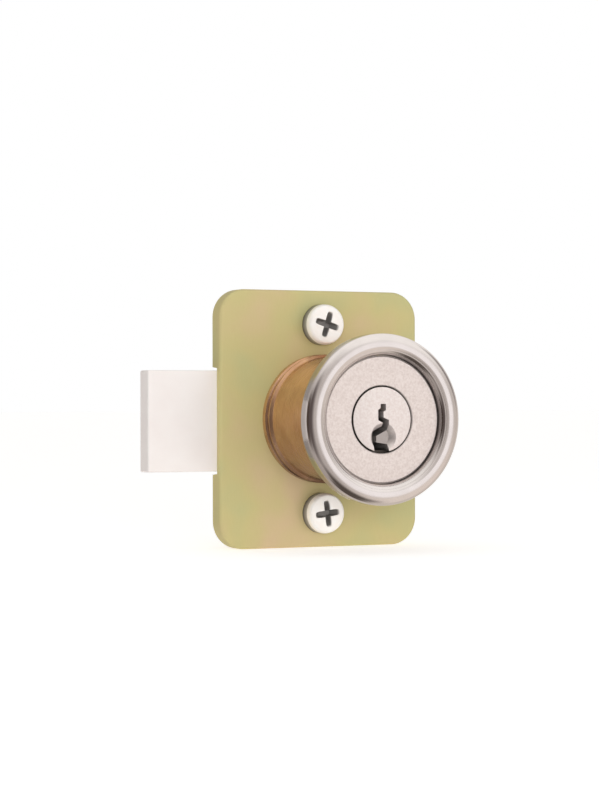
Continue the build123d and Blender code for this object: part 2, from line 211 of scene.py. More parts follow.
def circle_path(x, z, radius, steps=96):
    """A round hole's outline, with normals that point into the hole's wall."""
    angle = np.linspace(0, 2 * np.pi, steps, endpoint=False)
    normal = np.stack([np.cos(angle), np.sin(angle)], 1)
    return np.array([x, z]) + radius * normal, normal


def slab(name, outline, section, holes=(), hole_edge=0.12):
    """A flat piece with holes. Its edge is the section, (inset, depth) points from the front face
    round to the back one, carried along the outline: place = outline - inset x normal. The depths
    may be arrays, one value for each point of the outline. The flat faces are filled between the
    outline's first or last loop and the holes, whose mouths are widened by hole_edge."""
    points, faces, fronts, backs = [], [], [], []
    path, normal = outline
    section = [(inset, np.broadcast_to(depth, len(path))) for inset, depth in section]
    front, back = float(section[0][1][0]), float(section[-1][1][0])
    walls = [[(path - inset * normal, depth) for inset, depth in section]]
    mouths = [
        (hole_edge, front), (0, front + hole_edge), (0, back - hole_edge), (hole_edge, back),
    ]
    for place, away in holes:
        walls.append([(place + out * away, np.full(len(place), depth)) for out, depth in mouths])
    for wall in walls:
        first = sum(len(p) for p in points)
        sides = len(wall[0][0])
        for place, depth in wall:
            points.append(np.column_stack([place[:, 0], depth, place[:, 1]]))
        faces += ring_quads(len(wall), sides, first)
        fronts.append(np.arange(first, first + sides))
        backs.append(np.arange(first + (len(wall) - 1) * sides, first + len(wall) * sides))
    points = np.vstack(points)
    for loops in (fronts, backs):
        faces += filled(points, loops)
    return recalculated(mesh_piece(name, points, faces))


def filled(points, loops):
    """Triangles between an outer loop and the holes inside it, all in one plane square to Y."""
    keep_inside, touching = 1, 1e-7
    order = np.concatenate(loops)
    flat = [Vector((points[i, 0], points[i, 2])) for i in order]
    edges, start = [], 0
    for loop in loops:
        edges += [(start + i, start + (i + 1) % len(loop)) for i in range(len(loop))]
        start += len(loop)
    outer = list(range(len(loops[0])))
    triangles = delaunay_2d_cdt(flat, edges, [outer], keep_inside, touching)[2]
    holes = [points[loop][:, (0, 2)] for loop in loops[1:]]
    kept = []
    for triangle in triangles:
        centre = np.mean([flat[i] for i in triangle], axis=0)
        if not any(inside(centre, hole) for hole in holes):
            kept.append([int(order[i]) for i in triangle])
    return kept


def inside(place, loop):
    """True if a point lies inside a closed loop, whose edges a ray from it crosses an odd number
    of times."""
    x, z = loop[:, 0], loop[:, 1]
    next_x, next_z = np.roll(x, -1), np.roll(z, -1)
    spans = (z > place[1]) != (next_z > place[1])
    rise = np.where(spans, next_z - z, 1.0)
    crossing = x + (place[1] - z) * (next_x - x) / rise
    return bool(np.count_nonzero(spans & (crossing > place[0])) % 2)


def recalculated(piece, smooth_under=CRISP_OVER):
    """Merges doubles, turns the faces of a closed mesh outwards and sets its shading again."""
    work = bmesh.new()
    work.from_mesh(piece.data)
    bmesh.ops.remove_doubles(work, verts=work.verts, dist=DOUBLES_WITHIN)
    bmesh.ops.recalc_face_normals(work, faces=work.faces)
    work.to_mesh(piece.data)
    work.free()
    finish_shading(piece, smooth_under)
    return piece


def cut(piece, cutters, smooth_under=CRISP_OVER):
    """Takes the cutters' shapes out of a piece."""
    for cutter in cutters:
        step = piece.modifiers.new("cut", "BOOLEAN")
        step.operation = "DIFFERENCE"
        step.solver = "EXACT"
        step.object = cutter
    shaped = piece.evaluated_get(bpy.context.evaluated_depsgraph_get())
    old = piece.data
    piece.data = bpy.data.meshes.new_from_object(shaped)
    piece.modifiers.clear()
    piece.data.name = piece.name
    bpy.data.meshes.remove(old)
    for cutter in cutters:
        bpy.data.objects.remove(cutter)
    return recalculated(piece, smooth_under)


def loft(name, outlines, smooth_under=CRISP_OVER):
    """A solid between outlines of equal numbers of points (x, y, z), with flat ends."""
    outlines = np.array(outlines, float)
    rows, sides = outlines.shape[:2]
    faces = ring_quads(rows, sides)
    faces += [list(range(sides))[::-1], list(range((rows - 1) * sides, rows * sides))]
    piece = mesh_piece(name, outlines.reshape(-1, 3), faces, smooth_under)
    return recalculated(piece, smooth_under)


# Materials. The noise that draws a grain lies nearly all between two levels, and a piece's own
# attribute says how much painted shade lies on it. A colour mix has its sockets by number
GRAIN_LOW = 0.3
GRAIN_HIGH = 0.7
SHADE = "shade"
# Painted shade: the dark colour mixed into a metal where the shade attribute says shade falls
PAINTED_SHADE_COLOUR = "#4a4541"
MIX_SHARE, MIX_FROM, MIX_TO, MIX_RESULT = 0, 6, 7, 2


def add(tree, kind, inputs=None, stops=(), **settings):
    """Adds one node: settings are its properties, inputs its sockets' values or what links there,
    and stops a colour ramp's (place, hex colour) pairs."""
    made = tree.nodes.new(kind)
    for name, value in settings.items():
        setattr(made, name, value)
    for name, value in (inputs or {}).items():
        if isinstance(value, bpy.types.NodeSocket):
            tree.links.new(value, made.inputs[name])
        else:
            made.inputs[name].default_value = value
    for i, (place, colour) in enumerate(stops):
        elements = made.color_ramp.elements
        element = elements[i] if i < 2 else elements.new(1.0)
        element.position = place
        element.color = linear(colour)
    return made


def new_material(name):
    """A new material, its empty tree, and object coordinates to place its patterns by."""
    material = bpy.data.materials.new(name)
    material.use_nodes = True
    tree = material.node_tree
    tree.nodes.clear()
    return material, tree, add(tree, "ShaderNodeTexCoord").outputs["Object"]


def grained(tree, place, colour, grain_mm, relief_mm, roughness, metallic, stretch):
    """Ends a metal's tree: a fine grain, drawn out along the way the metal was worked, sways its
    roughness between two values and gives it relief."""
    fine = add(tree, "ShaderNodeMapping", {"Vector": place, "Scale": stretch}).outputs["Vector"]
    noise = {"Vector": fine, "Scale": 1 / (grain_mm * MM), "Detail": 3.0, "Roughness": 0.6}
    grain = add(tree, "ShaderNodeTexNoise", noise).outputs["Fac"]
    levels = {"Value": grain, "From Min": GRAIN_LOW, "From Max": GRAIN_HIGH}
    levels.update({"To Min": roughness[0], "To Max": roughness[1]})
    gloss = add(tree, "ShaderNodeMapRange", levels).outputs["Result"]
    rise = {"Height": grain, "Distance": relief_mm * MM}
    relief = add(tree, "ShaderNodeBump", rise).outputs["Normal"]
    finish = {"Base Color": colour, "Metallic": metallic, "Roughness": gloss, "Normal": relief}
    shader = add(tree, "ShaderNodeBsdfPrincipled", finish).outputs["BSDF"]
    add(tree, "ShaderNodeOutputMaterial", {"Surface": shader})


def yellow_zinc_plate():
    """Yellow dichromated zinc on cold rolled sheet: a flat khaki gold, barely patched with pink
    and green where the film is thinner or thicker. The lines that the rolls leave in the sheet are
    drawn 0.22 mm wide, several times the real width, so that they show in its satin gloss."""
    material, tree, place = new_material("yellow_dichromated_zinc")
    patch_mm = 13.0
    noise = {"Vector": place, "Scale": 1 / (patch_mm * MM), "Detail": 2.0, "Roughness": 0.5}
    patches = add(tree, "ShaderNodeTexNoise", noise).outputs["Fac"]
    tints = [(0.34, "#cbc68f"), (0.46, "#d2c78e"), (0.56, "#d5c591"), (0.68, "#dac39a")]
    film = add(tree, "ShaderNodeValToRGB", {"Fac": patches}, stops=tints).outputs["Color"]
    grained(
        tree, place, film, grain_mm=0.22, relief_mm=0.004, roughness=(0.5, 0.62), metallic=0.35,
        stretch=(1.0, 1.0, 0.12),
    )
    return material


def plated(
    name, light, dark, cloud_mm, grain_mm, relief_mm, roughness, metallic, stretch=(1.0, 1.0, 1.0)
):
    """A plated or machined metal: its colour clouded between dark and light, a fine grain in its
    gloss and relief, and painted shade mixed in as its own attribute says."""
    material, tree, place = new_material(name)
    noise = {"Vector": place, "Scale": 1 / (cloud_mm * MM), "Detail": 3.0, "Roughness": 0.55}
    cloud = add(tree, "ShaderNodeTexNoise", noise).outputs["Fac"]
    tints = [(0.35, dark), (0.65, light)]
    colour = add(tree, "ShaderNodeValToRGB", {"Fac": cloud}, stops=tints).outputs["Color"]
    depth = add(tree, "ShaderNodeAttribute", attribute_name=SHADE).outputs["Fac"]
    # Painted shade: the colour is darkened towards the shade colour as the attribute says
    mixed = {MIX_SHARE: depth, MIX_FROM: colour, MIX_TO: linear(PAINTED_SHADE_COLOUR)}
    shaded_colour = add(tree, "ShaderNodeMix", mixed, data_type="RGBA").outputs[MIX_RESULT]
    grained(tree, place, shaded_colour, grain_mm, relief_mm, roughness, metallic, stretch)
    return material


# Real grains of a few hundredths of a millimetre are drawn as coarse as they need to show
FINISHES = {
    "yellow_zinc": yellow_zinc_plate(),
    # Bright zinc on a cold headed screw: nearly white, with a slight milkiness in the gloss
    "bright_zinc": plated(
        "bright_zinc", "#fffdf9", "#fffaf4", cloud_mm=1.3, grain_mm=0.8, relief_mm=0.0005,
        roughness=(0.3, 0.36), metallic=0.25,
    ),
    # Satin zinc on a forged bolt, ground flat: pale, slightly pink, with fine lines along it
    "satin_zinc": plated(
        "satin_zinc", "#fbf6f3", "#f7f0ed", cloud_mm=9.0, grain_mm=0.2, relief_mm=0.004,
        roughness=(0.34, 0.48), metallic=0.35, stretch=(0.06, 1.0, 1.0),
    ),
    # Satin nickel over blasted brass: a warm grey white, evenly speckled by the blasting
    "satin_nickel": plated(
        "satin_nickel", "#f8eeea", "#e8dcd7", cloud_mm=0.34, grain_mm=0.3, relief_mm=0.01,
        roughness=(0.32, 0.44), metallic=0.7,
    ),
    # The plug's front is turned before it is nickelled: the same white, less speckled
    "turned_nickel": plated(
        "turned_satin_nickel", "#faf2ef", "#efe4e0", cloud_mm=0.34, grain_mm=0.3,
        relief_mm=0.006, roughness=(0.3, 0.4), metallic=0.7,
    ),
    # Brass off the lathe: orange, clouded by tarnish, with fine rings that the tool left
    "brass": plated(
        "turned_brass", "#e8bb96", "#cf9f7c", cloud_mm=5.0, grain_mm=0.16, relief_mm=0.003,
        roughness=(0.2, 0.3), metallic=0.85, stretch=(0.02, 1.0, 0.02),
    ),
    # Bright chrome over polished brass: a mirror, with a haze that varies over some millimetres
    "chrome": plated(
        "polished_chrome", "#f0ebea", "#eae5e4", cloud_mm=4.0, grain_mm=2.5, relief_mm=0.0005,
        roughness=(0.12, 0.18), metallic=1.0,
    ),
    # Bare machined steel inside the case: a plain mid grey with a dull gloss
    "plain_steel": plated(
        "machined_steel", "#a9a6a2", "#93908c", cloud_mm=3.0, grain_mm=0.25, relief_mm=0.004,
        roughness=(0.32, 0.46), metallic=0.9,
    ),
    # Hard drawn spring wire and strip: darker, bluish, drawn smooth
    "spring_steel": plated(
        "spring_steel", "#8f9094", "#7b7c80", cloud_mm=3.0, grain_mm=0.2, relief_mm=0.002,
        roughness=(0.24, 0.38), metallic=0.9,
    ),
    # Nickel silver driver pins: yellowish white, turned
    "nickel_silver": plated(
        "nickel_silver", "#cfc8b8", "#bdb5a4", cloud_mm=2.0, grain_mm=0.2, relief_mm=0.002,
        roughness=(0.24, 0.38), metallic=0.9,
    ),
}


def shade(piece, values):
    """Stores how much painted shade lies on each of a piece's points, from 0 to 1."""
    layer = piece.data.attributes.new(SHADE, "FLOAT", "POINT")
    layer.data.foreach_set("value", np.asarray(values, np.float32))


def places(piece):
    """A piece's points in millimetres, as arrays x, y and z."""
    corners = np.zeros(len(piece.data.vertices) * 3)
    piece.data.vertices.foreach_get("co", corners)
    return corners.reshape(-1, 3).T / MM


def dress(piece, material, slot, body, *replaced):
    """Gives a new piece its material, its body and the nodes it replaces; slot is not used."""
    piece.data.materials.clear()
    piece.data.materials.append(material)
    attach(piece, body)
    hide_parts(*replaced)


# Every CAD node that stays gets the finish of its own slot in the record
for part in FRAME["record"]["subparts"]:
    materials = FRAME["nodes"][part["node"]].data.materials
    materials.clear()
    materials.append(FINISHES[part["material_slot"]])

# Barrel: what its pieces share
BODY_LOW, BODY_HIGH = node_box("cylinder_body")
FACE = float(BODY_LOW[1])
NECK_RADIUS = float(BODY_HIGH[0])
CORE_STEP = 0.75
CORE_RADIUS = NECK_RADIUS - CORE_STEP
SPIGOT_STEP = 1.25
SPIGOT_RADIUS = CORE_RADIUS - SPIGOT_STEP
SPIGOT_FLAT_CUT = 1.0
SPIGOT_FLAT = SPIGOT_RADIUS - SPIGOT_FLAT_CUT
BARREL_SIDES = 240

# Front plate: a shallow pan of sheet with its edge bent back, notched on the left for the bolt
PLATE_LOW, PLATE_HIGH = node_box("front_plate")
PLATE_SHEET = 1.2
PLATE_BEND = 0.6
PLATE_INNER_BEND = 0.25
PLATE_INNER_STEPS = 5
PLATE_CORNER = 4.76
PLATE_RIM_EDGE = 0.12
NOTCH_HALF = 9.1
NOTCH_PLACE = -0.3
NOTCH_BLEND = 0.12
NOTCH_STEPS = 9
NOTCH_LIP = 0.06
SPIGOT_HOLE_GAP = 0.03
SPIGOT_HOLE_SIDES = 144
SCREW_HOLE = 1.88
SCREW_PLACE = middle("screw_upper", 2)
PLATE_HOLE_EDGE = 0.08


def plate_path():
    """The plate's outline: a rounded rectangle with many points on its left side, for the notch."""
    half_wide, half_high = PLATE_HIGH[0], PLATE_HIGH[2]
    signs = ((-1, -1), (1, -1), (1, 1), (-1, 1))
    corners = [(x * half_wide, z * half_high, PLATE_CORNER) for x, z in signs]
    path, normal = rounded_path(corners, steps=16, straight=6)
    blend = np.linspace(-1, 1, NOTCH_STEPS) * NOTCH_BLEND
    extra = np.sort(np.concatenate([blend + NOTCH_HALF, blend - NOTCH_HALF]))[::-1] + NOTCH_PLACE
    left = np.abs(path[:, 0] + half_wide) < TINY
    inner = left & (np.abs(path[:, 1]) < half_high - PLATE_CORNER - TINY)
    path, normal = path[~inner], normal[~inner]
    side_points = np.column_stack([np.full(len(extra), -half_wide), extra])
    side_normals = np.tile([-1.0, 0.0], (len(extra), 1))
    return np.vstack([path, side_points]), np.vstack([normal, side_normals])


def spigot_hole_path():
    """The spigot's outline and a gap: a circle with two flats, z held between plus and minus the
    flat."""
    path, normal = circle_path(0, 0, SPIGOT_RADIUS + SPIGOT_HOLE_GAP, SPIGOT_HOLE_SIDES)
    flat = SPIGOT_FLAT + SPIGOT_HOLE_GAP
    pressed = np.abs(path[:, 1]) > flat
    normal[pressed] = np.column_stack([np.zeros(pressed.sum()), np.sign(path[pressed, 1])])
    path[:, 1] = np.clip(path[:, 1], -flat, flat)
    return path, normal


def make_front_plate():
    """The bent edge's section is carried round the outline; its rim drops to the sheet's own
    thickness in the notch, where a smooth step of |z| leads from one depth to the other."""
    path, normal = plate_path()
    on_left = path[:, 0] < TINY - PLATE_HIGH[0]
    away = np.abs(path[:, 1] - NOTCH_PLACE)
    share = np.clip((away - NOTCH_HALF + NOTCH_BLEND) / (2 * NOTCH_BLEND), 0, 1)
    share = np.where(on_left, share * share * (3 - 2 * share), 1.0)
    room = NOTCH_LIP + (float(PLATE_HIGH[1]) - PLATE_SHEET - NOTCH_LIP) * share
    rim, edge = PLATE_SHEET + room, PLATE_RIM_EDGE * room / room.max()
    bend = np.minimum(PLATE_INNER_BEND, room / 2)
    outer = arc((0, 0), PLATE_BEND, -90, 0, steps=8)
    section = [(PLATE_BEND - across, PLATE_BEND + along) for across, along in outer]
    section += [(0.0, rim - edge), (PLATE_RIM_EDGE, rim)]
    section += [(PLATE_SHEET - PLATE_RIM_EDGE, rim), (PLATE_SHEET, rim - edge)]
    for turn in np.radians(np.linspace(0, 90, PLATE_INNER_STEPS)):
        inset = PLATE_SHEET + PLATE_INNER_BEND * (1 - math.cos(turn))
        section.append((inset, PLATE_SHEET + bend * (1 - math.sin(turn))))
    screw_holes = [circle_path(0, side * SCREW_PLACE, SCREW_HOLE) for side in (1, -1)]
    holes = [spigot_hole_path(), *screw_holes]
    return slab("front_plate_sheet", (path, normal), section, holes, PLATE_HOLE_EDGE)


dress(make_front_plate(), FINISHES["yellow_zinc"], "yellow_zinc", "lock_case", "front_plate")

# Bolt: head that shows, forked tail inside the case. An arc of a full round end stops short of
# the next one by ROUND_ROOM
BOLT_LOW, BOLT_HIGH = node_box("bolt")
BOLT_HEAD_HALF = 8.6
BOLT_HEAD_PLACE = -0.3
BOLT_HEAD_CORNER = 0.35
BOLT_TAIL_LEFT = -14.2
BOLT_TAIL_CORNER = 1.2
BOLT_FORK_HALF = 2.45
BOLT_FORK_END = -15.15
BOLT_CORNER = 0.3
BOLT_EDGE = 0.28
DRIVE_SLOT_X = -6.35
DRIVE_SLOT_LOW = 6.35
DRIVE_SLOT_HIGH = 8.98
DRIVE_SLOT_RADIUS = 1.85
ROUND_ROOM = 0.01


def rounded_edge(radius, front, back, steps=6):
    """A section with both its edges rounded: a quarter circle in, straight, and a quarter out."""
    first, last = arc((0, 0), radius, -90, 0, steps), arc((0, 0), radius, 0, 90, steps)
    section = [(radius - across, front + radius + along) for across, along in first]
    return section + [(radius - across, back - radius + along) for across, along in last]


def make_bolt():
    """The whole bolt's outline with the fork and the drive slot, its edges broken all round."""
    tip, right, tail = BOLT_LOW[0], BOLT_HIGH[0], BOLT_HIGH[2]
    lower = [
        (BOLT_TAIL_LEFT, -tail, BOLT_TAIL_CORNER),
        (right, -tail, BOLT_TAIL_CORNER),
        (right, -BOLT_FORK_HALF, BOLT_CORNER),
        (BOLT_FORK_END, -BOLT_FORK_HALF, BOLT_FORK_HALF - ROUND_ROOM),
    ]
    upper = [(x, -z, radius) for x, z, radius in reversed(lower)]
    high, low = BOLT_HEAD_PLACE + BOLT_HEAD_HALF, BOLT_HEAD_PLACE - BOLT_HEAD_HALF
    head = [
        (BOLT_TAIL_LEFT, high, BOLT_CORNER),
        (tip, high, BOLT_HEAD_CORNER),
        (tip, low, BOLT_HEAD_CORNER),
        (BOLT_TAIL_LEFT, low, BOLT_CORNER),
    ]
    foot, top = DRIVE_SLOT_LOW - DRIVE_SLOT_RADIUS, DRIVE_SLOT_HIGH + DRIVE_SLOT_RADIUS
    slot = [
        (DRIVE_SLOT_X + side * DRIVE_SLOT_RADIUS, z, DRIVE_SLOT_RADIUS - ROUND_ROOM)
        for side, z in ((-1, foot), (1, foot), (1, top), (-1, top))
    ]
    section = rounded_edge(BOLT_EDGE, BOLT_LOW[1], BOLT_HIGH[1])
    outline, hole = rounded_path(lower + upper + head), rounded_path(slot, steps=12)
    return slab("bolt_forged", outline, section, [hole])


dress(make_bolt(), FINISHES["satin_zinc"], "satin_zinc", "bolt", "bolt")

# Brass sleeve: turned, stepped out and grooved at its base
SLEEVE_LOW, SLEEVE_HIGH = node_box("barrel_sleeve")
BASE_RADIUS = float(SLEEVE_HIGH[0])
SLEEVE_WALL = 0.7
STEP_BACK = -2.6
GROOVE_FRONT = -2.35
GROOVE_BACK = -1.35
GROOVE_DEPTH = 0.35
TURNED_EDGE = 0.1
SLEEVE_RINGS = 24
# Painted shade: the sleeve is darkened towards its underside and in its groove
UNDERSIDE_PAINTED_SHADE = 0.5
UNDERSIDE_FROM = 0.3
UNDERSIDE_SPREAD = 1.1
GROOVE_PAINTED_SHADE = 0.1


def make_sleeve():
    """A closed profile: neck, sloped step, land, groove and collar outside, then along the bore.
    Painted shade lies in the groove, and grows towards the underside with -z / radius."""
    front, back = SLEEVE_LOW[1], SLEEVE_HIGH[1]
    inner, floor = NECK_RADIUS - SLEEVE_WALL, BASE_RADIUS - GROOVE_DEPTH
    edge, half = TURNED_EDGE, TURNED_EDGE / 2
    step_front = STEP_BACK - (BASE_RADIUS - NECK_RADIUS)
    neck = np.linspace(front + edge, step_front - edge, SLEEVE_RINGS)
    profile = [(NECK_RADIUS, y) for y in neck] + [
        (NECK_RADIUS + half, step_front + half), (BASE_RADIUS - half, STEP_BACK - half),
        (BASE_RADIUS, STEP_BACK + half), (BASE_RADIUS, GROOVE_FRONT - half),
        (BASE_RADIUS - half, GROOVE_FRONT), (floor, GROOVE_FRONT + half),
        (floor, GROOVE_BACK - half), (BASE_RADIUS - 2 * edge, GROOVE_BACK),
        (BASE_RADIUS, GROOVE_BACK + 2 * edge), (BASE_RADIUS, back - edge),
        (BASE_RADIUS - edge, back), (inner + edge, back), (inner, back - edge),
        (inner, front + edge), (inner + edge, front), (NECK_RADIUS - edge, front),
    ]
    sleeve = turned("barrel_sleeve_turned", profile, sides=BARREL_SIDES)
    x, y, z = places(sleeve)
    under = np.clip((UNDERSIDE_FROM - z / NECK_RADIUS) / UNDERSIDE_SPREAD, 0, 1)
    groove = (y > GROOVE_FRONT) & (y < GROOVE_BACK) & (np.hypot(x, z) < BASE_RADIUS - edge)
    shade(sleeve, UNDERSIDE_PAINTED_SHADE * under + np.where(groove, GROOVE_PAINTED_SHADE, 0.0))
    return sleeve


dress(make_sleeve(), FINISHES["brass"], "brass", "lock_case", "barrel_sleeve")

# Trim ring: straight side, crowned front, and a flared wall down to the face. The lip's arc and
# the wall's ellipse run between the angles given, in degrees
RING_LOW, RING_HIGH = node_box("trim_ring")
RING_OUTER = float(RING_HIGH[0])
RING_GAP = 0.05
RING_LIP = 11.5
RING_LIP_DROP = 0.1
RING_LIP_ROUND = 0.08
RING_CREST = 12.2
RING_SHOULDER = 0.95
RING_FULLNESS = 2.4
RING_BACK_EDGE = 0.3
RING_LIP_ANGLES = (-100, -150)
RING_WALL_ANGLES = (80, 0)
RING_SIDE_STEPS = 6
RING_SHOULDER_STEPS = 40
RING_CROWN_STEPS = 9
RING_WALL_STEPS = 17
RING_SIDES = 288
# Painted shade: a dark line at the wall's foot by the face, and a darker side over its reflection
RING_FOOT_PAINTED_SHADE = 0.8
RING_FOOT_REACH = 1.1
RING_SIDE_PAINTED_SHADE = 0.5
RING_SIDE_FROM = 0.6


def make_ring():
    """A closed profile: back edge, side, a quarter of a superellipse from the side to the crest,
    where across and along are powers 2 / n of cosine and sine, a shallow curve that falls as the
    square of the way to the lip, the lip's own arc, most of a quarter of an ellipse from there
    down to the face, and the bore behind it. Painted shade darkens the wall's foot and the side."""
    front, back = float(RING_LOW[1]), float(RING_HIGH[1])
    inner = NECK_RADIUS + RING_GAP
    corner = (RING_OUTER - RING_BACK_EDGE, back - RING_BACK_EDGE)
    profile = arc(corner, RING_BACK_EDGE, 90, 0, steps=6)
    side = np.linspace(back - RING_BACK_EDGE, front + RING_SHOULDER, RING_SIDE_STEPS)[1:-1]
    profile += [(RING_OUTER, y) for y in side]
    turn = np.radians(np.linspace(0, 90, RING_SHOULDER_STEPS))
    power = 2 / RING_FULLNESS
    across = RING_CREST + (RING_OUTER - RING_CREST) * np.abs(np.cos(turn)) ** power
    profile += pairs(across, front + RING_SHOULDER * (1 - np.sin(turn) ** power))
    way = np.linspace(0, 1, RING_CROWN_STEPS)[1:]
    reach = RING_CREST - RING_LIP - RING_LIP_ROUND
    profile += pairs(RING_CREST - reach * way, front + RING_LIP_DROP * way * way)
    lip = (RING_LIP + RING_LIP_ROUND, front + RING_LIP_DROP + RING_LIP_ROUND)
    profile += arc(lip, RING_LIP_ROUND, *RING_LIP_ANGLES, steps=4)
    wide, high = profile[-1][0] - inner, FACE - profile[-1][1]
    turn = np.radians(np.linspace(*RING_WALL_ANGLES, RING_WALL_STEPS))
    profile += pairs(inner + wide * (1 - np.cos(turn)), FACE - high * np.sin(turn))
    profile += [(inner, back - RING_GAP), (inner + RING_GAP, back)]
    ring = turned("trim_ring_turned", profile, sides=RING_SIDES)
    x, y, z = places(ring)
    foot = np.clip(1 - (FACE - y) / RING_FOOT_REACH, 0, 1)
    rim = np.clip((y - front) / RING_SHOULDER - RING_SIDE_FROM, 0, 1)
    within = np.hypot(x, z) < RING_LIP
    shade(ring, np.where(within, RING_FOOT_PAINTED_SHADE * foot, RING_SIDE_PAINTED_SHADE * rim))
    return ring


dress(make_ring(), FINISHES["chrome"], "chrome", "lock_case", "trim_ring")

# Cylinder body: face flange, core with the pin chambers, and the staked spigot
BODY_FLANGE_BACK = float(SLEEVE_LOW[1])
FACE_CHAMFER = 0.3
MOUTH_RADIUS = 5.6
MOUTH_BACK = FACE + 1.25
MOUTH_EDGE = 0.15
MOUTH_DARK = 0.5
BORE_RADIUS = 5.05
CLIP_ROOM_RADIUS = 6.8
CLIP_ROOM_FRONT = -1.55
CHAMBER_RADIUS = 1.5
CHAMBER_SIDES = 64
CHAMBERS = [middle(f"key_pin_{number}", 1) for number in range(1, 6)]
CUTTER_SPARE = 1.0


def upright_hole(y, low, high):
    """A round cutter of the pin chambers' radius that stands at depth y, from low to high."""
    angle = np.linspace(0, 2 * np.pi, CHAMBER_SIDES, endpoint=False)
    x, depth = CHAMBER_RADIUS * np.cos(angle), y + CHAMBER_RADIUS * np.sin(angle)
    rings = [np.column_stack([x, depth, np.full(CHAMBER_SIDES, z)]) for z in (low, high)]
    return loft("chamber_cutter", rings)


def spigot_flats(radius, depth, angle):
    """Radius held to flat / |sin a| on the spigot's own rings."""
    limit = SPIGOT_FLAT / np.maximum(np.abs(np.sin(angle)), TINY)
    return np.where(np.isclose(radius, SPIGOT_RADIUS), np.minimum(radius, limit), radius)


def make_cylinder_body():
    """A closed profile: face, flange, core and spigot outside, bore and its two wider ends
    inside. Painted shade darkens the plug's mouth with its depth."""
    back = float(BODY_HIGH[1])
    profile = [
        (MOUTH_RADIUS + MOUTH_EDGE, FACE),
        (NECK_RADIUS - FACE_CHAMFER, FACE), (NECK_RADIUS, FACE + FACE_CHAMFER),
        (NECK_RADIUS, BODY_FLANGE_BACK), (CORE_RADIUS, BODY_FLANGE_BACK),
        (CORE_RADIUS, 0.0), (SPIGOT_RADIUS, 0.0),
        (SPIGOT_RADIUS, back), (CLIP_ROOM_RADIUS, back),
        (CLIP_ROOM_RADIUS, CLIP_ROOM_FRONT), (BORE_RADIUS, CLIP_ROOM_FRONT),
        (BORE_RADIUS, MOUTH_BACK), (MOUTH_RADIUS, MOUTH_BACK),
        (MOUTH_RADIUS, FACE + MOUTH_EDGE),
    ]
    body = turned("cylinder_body_cast", profile, sides=BARREL_SIDES, shape=spigot_flats)
    body = cut(body, [upright_hole(y, 0.0, NECK_RADIUS + CUTTER_SPARE) for y in CHAMBERS])
    x, y, z = places(body)
    within = np.hypot(x, z) < MOUTH_RADIUS + MOUTH_EDGE / 2
    # Painted shade: the mouth is darker the deeper it lies
    shade(body, np.where(within, np.clip((y - FACE) / MOUTH_DARK, 0, 1), 0))
    return body


dress(
    make_cylinder_body(), FINISHES["satin_nickel"], "satin_nickel", "lock_case", "cylinder_body"
)

# Plug: flanged front with the keyway and its cone, clip groove, spindle and the cam's square
PLUG_END = float(node_box("plug")[1][1])
PLUG_RADIUS = 5.0
PLUG_FLANGE_RADIUS = 5.4
PLUG_FLANGE_BACK = FACE + 1.2
PLUG_EDGE = 0.14
PLUG_EDGE_REACH = 0.03
PLUG_EDGE_FRONT = 0.05
PLUG_BACK = 1.05
CLIP_GROOVE = (-1.45, -0.8)
CLIP_GROOVE_RADIUS = 4.2
SPINDLE_RADIUS = 2.25
SPINDLE_HALF_SQUARE = 1.7
SQUARE_FRONT = 5.05
SQUARE_STEP = 0.01
CAM_SCREW_HOLE = 1.02
CAM_SCREW_END = 2.15
PLUG_HOLE_FLOOR = -0.6
PLUG_HOLE_SPARE = 2.0
KEYWAY_BACK = -3.65
KEYWAY_ROUND = 0.1
KEYWAY_UNSHADED = 0.15
KEYWAY_DARK = 1.6
CONE_RADIUS = 2.35
CONE_PLACE = (0.2, -2.9)
CONE_DEPTH = 0.9
CONE_SPARE = 0.3
CONE_SIDES = 120
KEYWAY = [
    (-0.3, 2.6), (-0.3, 1.9), (-0.75, 1.6), (-0.75, -0.1), (0.15, -0.55), (0.15, -1.15),
    (-1.7, -2.0), (-1.7, -3.8), (-1.35, -5.9), (1.3, -5.9), (1.3, -4.05), (-0.65, -3.75),
    (-0.65, -2.7), (1.25, -1.75), (1.25, -0.05), (0.25, 0.35), (0.25, 1.3), (0.7, 1.55),
    (0.7, 2.6),
]


def squared_spindle(radius, depth, angle):
    """Radius held to half the square's side / the larger of |cos a| and |sin a|, behind the
    spindle."""
    limit = SPINDLE_HALF_SQUARE / np.maximum(np.abs(np.cos(angle)), np.abs(np.sin(angle)))
    squared = (depth > SQUARE_FRONT - TINY) & np.isclose(radius, SPINDLE_RADIUS)
    return np.where(squared, np.minimum(radius, limit), radius)


